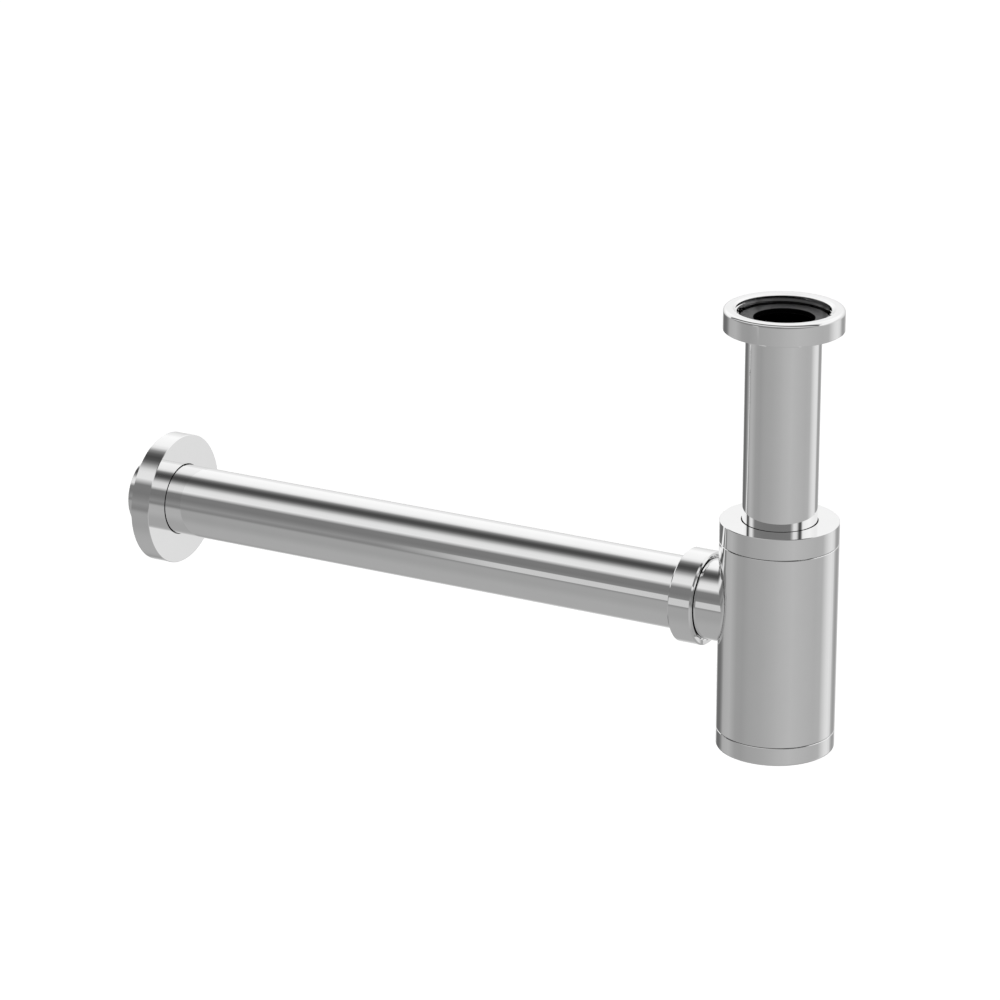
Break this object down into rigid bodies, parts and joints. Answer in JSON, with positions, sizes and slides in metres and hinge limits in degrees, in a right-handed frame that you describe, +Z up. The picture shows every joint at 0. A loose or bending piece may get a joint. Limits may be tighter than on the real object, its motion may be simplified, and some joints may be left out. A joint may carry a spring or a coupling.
{
  "type": "bottle trap",
  "caption": "Chromed cylindrical bottle trap: union nut and tail tube on top, screwed cleaning cup below, straight side arm with a round wall flange.",
  "frame": {"origin": "centre of the inlet gasket's upper face, on the bottle's axis, where the basin waste is seated", "axes": "+Z up along the bottle and tail tube, towards the basin; the arm leaves along -X to the wall"},
  "size_m": [0.345, 0.0594, 0.1959],
  "materials": {
    "chrome_plate": "polished chrome plate on brass",
    "plain_brass": "turned brass, unplated inside",
    "black_rubber": "moulded black rubber",
    "white_nylon": "natural nylon"
  },
  "bodies": {
    "inlet_pipe": {"inlet_tube": "chrome_plate", "inlet_gasket": "black_rubber"},
    "union_nut": {"inlet_nut": "chrome_plate"},
    "top_seal": {"top_cone_seal": "black_rubber"},
    "bottle": {"bottle_barrel": "chrome_plate", "neck_ring": "plain_brass", "cup_ring": "plain_brass", "outlet_nipple": "chrome_plate", "outlet_cone_seal": "black_rubber"},
    "cap_washer": {"top_slip_ring": "white_nylon"},
    "cap": {"top_cap": "chrome_plate"},
    "cup_seal": {"cup_o_ring": "black_rubber"},
    "cup": {"bottom_cup": "chrome_plate"},
    "arm_washer": {"outlet_slip_ring": "white_nylon"},
    "arm_nut": {"outlet_nut": "chrome_plate"},
    "arm_tube": {"wall_tube": "chrome_plate"},
    "flange": {"wall_flange": "chrome_plate", "flange_o_ring": "black_rubber"}
  },
  "joints": [
    {"name": "union_nut_turn", "type": "hinge", "parent": "inlet_pipe", "child": "union_nut", "pos_m": [0, 0, 0], "axis": [0, 0, 1], "continuous": true},
    {"name": "height_slide", "type": "slide", "parent": "inlet_pipe", "child": "top_seal", "axis": [0, 0, 1], "range_m": [-0.025, 0.006]},
    {"name": "bottle_swivel", "type": "hinge", "parent": "top_seal", "child": "bottle", "pos_m": [0, 0, -0.1], "axis": [0, 0, 1], "continuous": true},
    {"name": "cap_lift", "type": "slide", "parent": "bottle", "child": "cap_washer", "axis": [0, 0, 1], "range_m": [0, 0.0045]},
    {"name": "cap_turn", "type": "hinge", "parent": "cap_washer", "child": "cap", "pos_m": [0, 0, -0.09], "axis": [0, 0, 1], "range_deg": [0, 1080]},
    {"name": "cup_drop", "type": "slide", "parent": "bottle", "child": "cup_seal", "axis": [0, 0, -1], "range_m": [0, 0.0075]},
    {"name": "cup_turn", "type": "hinge", "parent": "cup_seal", "child": "cup", "pos_m": [0, 0, -0.19], "axis": [0, 0, -1], "range_deg": [0, 1800]},
    {"name": "arm_nut_back_off", "type": "slide", "parent": "bottle", "child": "arm_washer", "axis": [-1, 0, 0], "range_m": [0, 0.00375]},
    {"name": "arm_nut_turn", "type": "hinge", "parent": "arm_washer", "child": "arm_nut", "pos_m": [-0.037, 0, -0.1306], "axis": [-1, 0, 0], "range_deg": [0, 900]},
    {"name": "arm_slide", "type": "slide", "parent": "bottle", "child": "arm_tube", "axis": [-1, 0, 0], "range_m": [-0.0035, 0.005]},
    {"name": "flange_slide", "type": "slide", "parent": "arm_tube", "child": "flange", "axis": [-1, 0, 0], "range_m": [-0.245, 0.0109]}
  ],
  "couplings": [
    {"joint": "cap_lift", "follows": "cap_turn", "m_per_rad": 0.00023873},
    {"joint": "cup_drop", "follows": "cup_turn", "m_per_rad": 0.00023873},
    {"joint": "arm_nut_back_off", "follows": "arm_nut_turn", "m_per_rad": 0.00023873}
  ]
}
